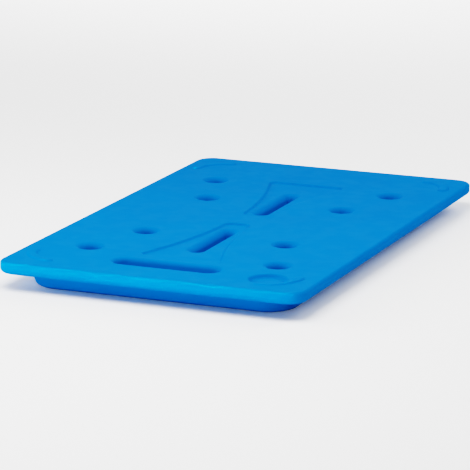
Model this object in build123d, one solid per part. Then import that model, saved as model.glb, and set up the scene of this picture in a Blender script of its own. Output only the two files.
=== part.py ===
from build123d import *
from math import radians, tan
import os

# Eutectic cold plate of gastronorm size: one blow-moulded, gel-filled and sealed body.
# X runs across the short front edge, Y from front to back, Z up. The origin is the
# middle of the underside. Sizes are in millimetres and angles in degrees.

# Rim: the flat slab that rests on the edge of a gastronorm pan.
plate_width = 325.0
plate_length = 530.0
rim_corner_radius = 19.0
rim_thickness = 12.0
rim_top_radius = 2.8
rim_under_radius = 4.5

# Well: the narrower lower body that hangs inside the pan.
ledge_width = 18.0
well_depth = 16.6
well_corner_radius = 35.5
well_draft = 20.0
well_floor_radius = 5.0
ledge_root_radius = 2.0

# Kiss-offs: places where the top skin is pressed down onto the bottom skin.
# Their pattern sits a little nearer to the front edge than the middle of the plate.
kiss_wall = 5.0
kiss_draft = 12.0
kiss_lip_radius = 6.2
kiss_floor_radius = 3.0
kiss_shift = 5.5

dimple_radius = 11.2
outer_dimple_side_inset = 60.6
outer_dimple_end_inset = 101.5
inner_dimple_side_inset = 85.5
inner_dimple_end_inset = 183.5

slot_width = 12.4
slot_lip_radius = 7.5
slot_gap = 76.0
slot_end_inset = 129.0

grip_width = 23.0
grip_length = 113.0
grip_edge_inset = 55.0
grip_lip_radius = 5.0

# Bells: shallow flared panels around the two lengthwise slots.
bell_depth = 2.0
bell_draft = 48.0
bell_tip_width = 28.5
bell_base_width = 92.0
bell_gap = 37.0
bell_end_inset = 86.5
bell_shift = 1.5
bell_tip_angle = 2.0
bell_base_corner = 7.0
bell_tip_corner = 10.0
bell_lip_radius = 3.0
bell_foot_radius = 3.0

# Filler recess: round, with the welded plug as its flat floor.
filler_radius = 19.5
filler_depth = 3.6
filler_draft = 40.0
filler_lip_radius = 3.0
filler_floor_radius = 3.0
filler_side_inset = 50.5
filler_edge_inset = 44.0

# Corner ridges: raised quarter rings that centre a stacked box.
ridge_height = 1.4
ridge_width = 11.5
ridge_radius = 32.4
ridge_draft = 60.0
ridge_crown_radius = 3.5
ridge_side_inset = 49.5
ridge_end_inset = 59.0
ridge_sweep = 84.0
filler_ridge_side_inset = 55.0
filler_ridge_end_inset = 56.0

# Heights that follow from the sizes above.
top_z = well_depth + rim_thickness
bell_floor_z = top_z - bell_depth
edge_tolerance = 0.01


def within_wall(radius, wall):
    """A fillet radius, held back where its wall is too thin to carry it."""
    return min(radius, 0.45 * wall)


def loop_at(body, height, center, reach):
    """Edges at one height whose middles lie in a rectangle about a centre."""
    loop = body.edges().filter_by_position(Axis.Z, height - edge_tolerance, height + edge_tolerance)
    loop = loop.filter_by_position(Axis.X, center[0] - reach[0], center[0] + reach[0])
    return loop.filter_by_position(Axis.Y, center[1] - reach[1], center[1] + reach[1])


def pressed_down(body, outline, center, height, floor_z, draft, lip_radius, floor_radius):
    """Press an outline into the body, from a height down to a floor, with a soft lip and floor."""
    size = outline.bounding_box().size
    reach = (size.X / 2 + edge_tolerance, size.Y / 2 + edge_tolerance)
    depth = height - floor_z
    floor_width = min(size.X, size.Y) - 2 * depth * tan(radians(draft))
    cutter = extrude(Pos(*center, height) * outline, amount=-depth, taper=draft)
    cutter = fillet(loop_at(cutter, floor_z, center, reach), within_wall(floor_radius, floor_width))
    body = body - cutter
    return fillet(loop_at(body, height, center, reach), within_wall(lip_radius, 2 * depth))


def rim():
    """The slab that carries the ledge, rounded along its top and under edges."""
    outline = RectangleRounded(plate_width, plate_length, rim_corner_radius)
    slab = extrude(Pos(0, 0, well_depth) * outline, amount=rim_thickness)
    slab = fillet(slab.faces().sort_by(Axis.Z)[-1].edges(), within_wall(rim_top_radius, rim_thickness))
    return fillet(slab.faces().sort_by(Axis.Z)[0].edges(), within_wall(rim_under_radius, rim_thickness))


def well():
    """The lower body, drawn in towards a flat underside with a rounded bottom edge."""
    width = plate_width - 2 * ledge_width
    length = plate_length - 2 * ledge_width
    outline = Pos(0, 0, well_depth) * RectangleRounded(width, length, well_corner_radius)
    body = extrude(outline, amount=-well_depth, taper=well_draft)
    return fillet(body.faces().sort_by(Axis.Z)[0].edges(), within_wall(well_floor_radius, 2 * well_depth))


def bell_outline(tip_y, base_y):
    """Half widths of tip and base joined by concave arcs that leave the tip nearly parallel."""
    tip = bell_tip_width / 2
    base = bell_base_width / 2
    towards_base = 1 if base_y > tip_y else -1
    right_start = Vector(tip, tip_y)
    left_start = Vector(-tip, tip_y)
    leaving = Vector(0, towards_base).rotate(Axis.Z, -towards_base * bell_tip_angle)
    right = TangentArc(right_start, Vector(base, base_y), tangent=leaving)
    left = mirror(right, about=Plane.YZ)
    outline = make_face(
        [right, Line(Vector(base, base_y), Vector(-base, base_y)), left, Line(left_start, right_start)]
    )
    corners = outline.vertices().group_by(Axis.Y)
    tips, bases = (corners[0], corners[-1]) if towards_base > 0 else (corners[-1], corners[0])
    outline = fillet(tips, bell_tip_corner)
    bases = [v for v in outline.vertices() if abs(v.Y - base_y) < edge_tolerance]
    return fillet(bases, bell_base_corner)


def with_bell(body, side):
    """Sink one bell into the top face. side is -1 at the front and 1 at the back."""
    tip_y = side * bell_gap / 2 - bell_shift
    base_y = side * (plate_length / 2 - bell_end_inset) - bell_shift
    outline = bell_outline(tip_y, base_y)
    center = (0, (tip_y + base_y) / 2)
    reach = (bell_base_width / 2 + edge_tolerance, abs(base_y - tip_y) / 2 + edge_tolerance)
    cutter = extrude(Pos(0, 0, top_z) * outline, amount=-bell_depth, taper=bell_draft)
    cutter = fillet(loop_at(cutter, bell_floor_z, center, reach), bell_foot_radius)
    body = body - cutter
    return fillet(loop_at(body, top_z, center, reach), bell_lip_radius)


def with_bell_slot(body, side):
    """Press the lengthwise slot down through a bell's floor."""
    near_y = slot_gap / 2
    far_y = plate_length / 2 - slot_end_inset
    outline = SlotOverall(far_y - near_y, slot_width, rotation=90)
    center = (0, side * (near_y + far_y) / 2 - kiss_shift)
    return pressed_down(
        body, outline, center, bell_floor_z, kiss_wall, kiss_draft, slot_lip_radius, kiss_floor_radius
    )


def with_grip(body):
    """Press the finger grip across the front of the top face."""
    outline = SlotOverall(grip_length, grip_width)
    center = (0, grip_edge_inset - plate_length / 2)
    return pressed_down(
        body, outline, center, top_z, kiss_wall, kiss_draft, grip_lip_radius, kiss_floor_radius
    )


def dimple_centers():
    """Two rows of dimples on each side: the outer ones near the ends, the inner ones between."""
    insets = [
        (outer_dimple_side_inset, outer_dimple_end_inset),
        (inner_dimple_side_inset, inner_dimple_end_inset),
    ]
    return [
        (x_side * (plate_width / 2 - side_inset), y_side * (plate_length / 2 - end_inset) - kiss_shift)
        for side_inset, end_inset in insets
        for x_side in (-1, 1)
        for y_side in (-1, 1)
    ]


def with_dimple(body, center):
    """Press one round kiss-off down to the bottom skin."""
    return pressed_down(
        body,
        Circle(dimple_radius),
        center,
        top_z,
        kiss_wall,
        kiss_draft,
        kiss_lip_radius,
        kiss_floor_radius,
    )


def filler_center():
    """Middle of the filler recess, at the front right corner."""
    return (plate_width / 2 - filler_side_inset, filler_edge_inset - plate_length / 2)


def with_filler(body):
    """Sink the round recess of the filler plug."""
    return pressed_down(
        body,
        Circle(filler_radius),
        filler_center(),
        top_z,
        top_z - filler_depth,
        filler_draft,
        filler_lip_radius,
        filler_floor_radius,
    )


def ridge(x_side, y_side):
    """A raised quarter ring that bulges towards its corner and gives way to the filler recess."""
    beside_filler = x_side > 0 and y_side < 0
    side_inset = filler_ridge_side_inset if beside_filler else ridge_side_inset
    end_inset = filler_ridge_end_inset if beside_filler else ridge_end_inset
    center = (x_side * (plate_width / 2 - side_inset), y_side * (plate_length / 2 - end_inset))
    start = 0 if x_side > 0 else 180
    turn = 1 if x_side * y_side > 0 else -1
    path = CenterArc(center, ridge_radius, start, turn * ridge_sweep)
    band = SlotArc(path, ridge_width)
    if beside_filler:
        band = band - Pos(*filler_center()) * Circle(filler_radius + filler_lip_radius)
    rise = extrude(Pos(0, 0, top_z) * band, amount=ridge_height, taper=ridge_draft)
    crown = rise.faces().sort_by(Axis.Z)[-1].edges()
    return fillet(crown, within_wall(ridge_crown_radius, ridge_width))


def cold_plate():
    """The whole moulding as one closed solid."""
    body = rim() + well()
    root_reach = (
        plate_width / 2 - ledge_width + edge_tolerance,
        plate_length / 2 - ledge_width + edge_tolerance,
    )
    body = fillet(loop_at(body, well_depth, (0, 0), root_reach), ledge_root_radius)
    for side in (-1, 1):
        body = with_bell(body, side)
        body = with_bell_slot(body, side)
    body = with_grip(body)
    for center in dimple_centers():
        body = with_dimple(body, center)
    body = with_filler(body)
    for x_side in (-1, 1):
        for y_side in (-1, 1):
            body = body + ridge(x_side, y_side)
    return body


os.makedirs("parts", exist_ok=True)
plate = cold_plate()
export_step(plate, "parts/cold_plate.step")
print("cold_plate volume in litres", round(plate.volume / 1e6, 3))
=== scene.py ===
import math

import bmesh
import bpy
from mathutils import Matrix, Vector

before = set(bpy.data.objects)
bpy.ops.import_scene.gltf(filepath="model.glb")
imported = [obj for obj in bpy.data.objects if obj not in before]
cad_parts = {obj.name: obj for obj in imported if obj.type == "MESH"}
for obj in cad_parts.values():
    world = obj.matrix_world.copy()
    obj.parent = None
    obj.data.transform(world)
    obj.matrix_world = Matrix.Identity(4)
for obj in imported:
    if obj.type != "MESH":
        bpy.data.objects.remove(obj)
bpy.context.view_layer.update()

# Camera: where it stands about the plate, in degrees and metres, with lens and sensor in millimetres.
camera_azimuth = 22.42
camera_elevation = 13.82
camera_roll = -0.14
camera_distance = 3.0985
camera_aim = Vector((0.0150, -0.0701, 0.0288))
camera_lens = 231.85
camera_sensor = 36.0
camera_reach = 50.0

# Floor and surroundings, in metres.
floor_reach = 9.0
floor_drop = 0.0002
floor_colour = (0.97, 0.97, 0.97, 1.0)
floor_roughness = 0.9
world_colour = (1.0, 1.0, 1.0, 1.0)
world_strength = 0.09

# Lights: sizes and places in metres, powers in watts.
plate_aim = (0.0, -0.1, 0.0)
floor_softbox_height = 0.8
floor_softbox_size = 1.5
floor_softbox_power = 30.0
spot_height = 0.012
spot_cut = 0.012
spot_radius = 0.004
spot_power = 82.0
lamp_height = 0.02
lamp_radius = 0.01
lamp_power = 54.0

# Polyethylene: two close blues, a weak gloss and the range of its satin.
light_blue = (0.0, 0.128, 0.404, 1.0)
deep_blue = (0.0, 0.124, 0.396, 1.0)
gloss = 0.002
smooth_satin = 0.42
rubbed_satin = 0.54

# Patterns, in waves to the metre.
cloud_scale = 13.0
wave_scale = 18.0
rub_scale = 55.0
grain_scale = 1300.0

# Heights of the surface marks, in metres.
grain_height = 0.00001
wave_height = 0.00003
parting_height = 0.00025
weld_height = 0.00015

# Where the marks lie, in metres on the plate.
rim_half_width = 0.1625
rim_half_length = 0.265
rim_edge_share = 0.97
parting_level = 0.0218
parting_half_width = 0.0006
plug_x = 0.112
plug_y = -0.221
plug_level = 0.020
weld_radius = 0.0105
weld_half_width = 0.0012


def aim_camera():
    """A long lens at the height and side that the plate is seen from."""
    azimuth, elevation = math.radians(camera_azimuth), math.radians(camera_elevation)
    back = Vector((
        math.sin(azimuth) * math.cos(elevation),
        -math.cos(azimuth) * math.cos(elevation),
        math.sin(elevation),
    ))
    right = Vector((0.0, 0.0, 1.0)).cross(back).normalized()
    up = back.cross(right)
    turn = Matrix((right, up, back)).transposed().to_4x4()
    roll = Matrix.Rotation(-math.radians(camera_roll), 4, "Z")
    camera = bpy.data.objects.new("camera", bpy.data.cameras.new("camera"))
    camera.data.lens = camera_lens
    camera.data.sensor_width = camera_sensor
    camera.data.clip_end = camera_reach
    camera.matrix_world = Matrix.Translation(camera_aim + camera_distance * back) @ turn @ roll
    bpy.context.scene.collection.objects.link(camera)
    bpy.context.scene.camera = camera


def new_light(name, kind, place, power):
    """A white light of one kind at a place."""
    data = bpy.data.lights.new(name, kind)
    data.energy = power
    light = bpy.data.objects.new(name, data)
    light.matrix_world = Matrix.Translation(Vector(place))
    bpy.context.scene.collection.objects.link(light)
    return light


def softbox(name, place, aim, size, power):
    """A square light that faces a point."""
    light = new_light(name, "AREA", place, power)
    light.data.size = size
    facing = (Vector(place) - Vector(aim)).to_track_quat("Z", "Y")
    light.matrix_world = light.matrix_world @ facing.to_matrix().to_4x4()


def hanging_softbox(name, place, size, power):
    """A square light that faces straight down."""
    softbox(name, place, (place[0], place[1], 0.0), size, power)


def low_spot(name, place):
    """A lamp that shines only above its own height, with a soft cut."""
    light = new_light(name, "SPOT", place, spot_power)
    light.data.spot_size = math.pi
    light.data.spot_blend = spot_cut
    light.data.shadow_soft_size = spot_radius
    light.matrix_world = light.matrix_world @ Matrix.Rotation(math.pi, 4, "X")


def light_studio():
    """Softboxes over the plate and round it, and two low lamps that fill its front edge."""
    world = bpy.data.worlds.new("studio")
    world.use_nodes = True
    background = world.node_tree.nodes["Background"]
    background.inputs["Color"].default_value = world_colour
    background.inputs["Strength"].default_value = world_strength
    bpy.context.scene.world = world
    bpy.context.scene.view_settings.view_transform = "Filmic"
    bpy.context.scene.view_settings.look = "Very High Contrast"
    hanging_softbox("overhead softbox", (-0.05, -0.30, 1.25), size=0.9, power=3.5)
    hanging_softbox("front overhead softbox", (-0.05, -0.55, 1.05), size=0.9, power=13.6)
    softbox("left softbox", (-1.2, -0.4, 0.9), plate_aim, size=0.8, power=4.5)
    softbox("low left softbox", (-1.5, -0.5, 0.5), plate_aim, size=0.6, power=8.8)
    softbox("front left softbox", (-0.9, -1.4, 0.5), plate_aim, size=0.6, power=1.5)
    softbox("back right softbox", (0.9, 0.9, 0.9), plate_aim, size=0.8, power=12.6)
    for side, x, y in (("back", -0.75, 2.0), ("left", -2.6, -0.2), ("right", 2.6, 0.0), ("front", 0.6, -2.9)):
        place = (x, y, floor_softbox_height)
        hanging_softbox(side + " floor softbox", place, floor_softbox_size, floor_softbox_power)
    low_spot("low front spot", (-0.5, -1.7, spot_height))
    lamp = new_light("low front lamp", "POINT", (-0.5, -1.7, lamp_height), lamp_power)
    lamp.data.shadow_soft_size = lamp_radius


def lay_floor():
    """A plain pale floor, a hair below the plate so that the two surfaces never share a plane."""
    mesh = bpy.data.meshes.new("floor")
    build = bmesh.new()
    bmesh.ops.create_grid(build, x_segments=1, y_segments=1, size=floor_reach)
    bmesh.ops.translate(build, verts=build.verts, vec=(0.0, 0.0, -floor_drop))
    build.to_mesh(mesh)
    build.free()
    floor = bpy.data.objects.new("floor", mesh)
    bpy.context.scene.collection.objects.link(floor)
    material = bpy.data.materials.new("pale floor")
    material.use_nodes = True
    shader = material.node_tree.nodes["Principled BSDF"]
    shader.inputs["Base Color"].default_value = floor_colour
    shader.inputs["Roughness"].default_value = floor_roughness
    mesh.materials.append(material)


class Recipe:
    """Short ways to add nodes to one material."""

    def __init__(self, name):
        self.material = bpy.data.materials.new(name)
        self.material.use_nodes = True
        self.tree = self.material.node_tree
        self.shader = self.tree.nodes["Principled BSDF"]
        self.place = self.tree.nodes.new("ShaderNodeTexCoord").outputs["Object"]

    def fill(self, socket, value):
        """Link an output to a socket, or set a constant on it."""
        if isinstance(value, bpy.types.NodeSocket):
            self.tree.links.new(value, socket)
        else:
            socket.default_value = value

    def math(self, operation, first, second=0.0):
        """One step of arithmetic."""
        node = self.tree.nodes.new("ShaderNodeMath")
        node.operation = operation
        self.fill(node.inputs[0], first)
        self.fill(node.inputs[1], second)
        return node.outputs[0]

    def noise(self, scale, detail):
        """Noise between 0 and 1; scale is in waves to the metre."""
        node = self.tree.nodes.new("ShaderNodeTexNoise")
        self.fill(node.inputs["Vector"], self.place)
        node.inputs["Scale"].default_value = scale
        node.inputs["Detail"].default_value = detail
        return node.outputs["Fac"]

    def between(self, value, low, high, at_low, at_high):
        """A soft step from one number to another."""
        node = self.tree.nodes.new("ShaderNodeMapRange")
        node.interpolation_type = "SMOOTHSTEP"
        self.fill(node.inputs["Value"], value)
        for name, number in (("From Min", low), ("From Max", high), ("To Min", at_low), ("To Max", at_high)):
            node.inputs[name].default_value = number
        return node.outputs["Result"]

    def line(self, value, middle, half_width):
        """1 where a value meets its middle, falling to 0 at the half width."""
        distance = self.math("ABSOLUTE", self.math("SUBTRACT", value, middle))
        return self.between(distance, 0.0, half_width, 1.0, 0.0)

    def blend(self, factor, first, second):
        """A mix of two colours."""
        node = self.tree.nodes.new("ShaderNodeMix")
        node.data_type = "RGBA"
        self.fill(node.inputs["Factor"], factor)
        self.fill(node.inputs["A"], first)
        self.fill(node.inputs["B"], second)
        return node.outputs["Result"]

    def raise_by(self, height, size, normal=None):
        """A bump whose height from 0 to 1 stands for a size in metres."""
        node = self.tree.nodes.new("ShaderNodeBump")
        node.inputs["Distance"].default_value = size
        self.fill(node.inputs["Height"], height)
        if normal is not None:
            self.fill(node.inputs["Normal"], normal)
        return node.outputs["Normal"]


def parting_line(recipe, x, y, z):
    """The mould's parting line, round the upright edge of the rim."""
    across = recipe.math("DIVIDE", recipe.math("ABSOLUTE", x), rim_half_width)
    along = recipe.math("DIVIDE", recipe.math("ABSOLUTE", y), rim_half_length)
    at_edge = recipe.math("GREATER_THAN", recipe.math("MAXIMUM", across, along), rim_edge_share)
    return recipe.math("MULTIPLY", at_edge, recipe.line(z, parting_level, parting_half_width))


def weld_ring(recipe, x, y, z):
    """The round weld of the filler plug, on the floor of its recess."""
    off_x = recipe.math("SUBTRACT", x, plug_x)
    off_y = recipe.math("SUBTRACT", y, plug_y)
    square = recipe.math("ADD", recipe.math("MULTIPLY", off_x, off_x), recipe.math("MULTIPLY", off_y, off_y))
    ring = recipe.line(recipe.math("SQRT", square), weld_radius, weld_half_width)
    return recipe.math("MULTIPLY", recipe.math("GREATER_THAN", z, plug_level), ring)


def blue_polyethylene():
    """Satin moulded polyethylene: clouded blue, fine grain, slight waves, parting line and plug weld."""
    recipe = Recipe("blue polyethylene")
    split = recipe.tree.nodes.new("ShaderNodeSeparateXYZ")
    recipe.fill(split.inputs[0], recipe.place)
    x, y, z = split.outputs
    cloud = recipe.between(recipe.noise(cloud_scale, 4.0), 0.3, 0.7, 0.0, 1.0)
    recipe.fill(recipe.shader.inputs["Base Color"], recipe.blend(cloud, deep_blue, light_blue))
    rub = recipe.between(recipe.noise(rub_scale, 6.0), 0.35, 0.65, smooth_satin, rubbed_satin)
    recipe.fill(recipe.shader.inputs["Roughness"], rub)
    recipe.shader.inputs["Specular IOR Level"].default_value = gloss
    surface = recipe.raise_by(recipe.noise(wave_scale, 1.0), wave_height)
    surface = recipe.raise_by(parting_line(recipe, x, y, z), parting_height, surface)
    surface = recipe.raise_by(weld_ring(recipe, x, y, z), weld_height, surface)
    surface = recipe.raise_by(recipe.noise(grain_scale, 3.0), grain_height, surface)
    recipe.fill(recipe.shader.inputs["Normal"], surface)
    return recipe.material


aim_camera()
light_studio()
lay_floor()
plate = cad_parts["cold_plate"]
plate.material_slots[0].material = blue_polyethylene()
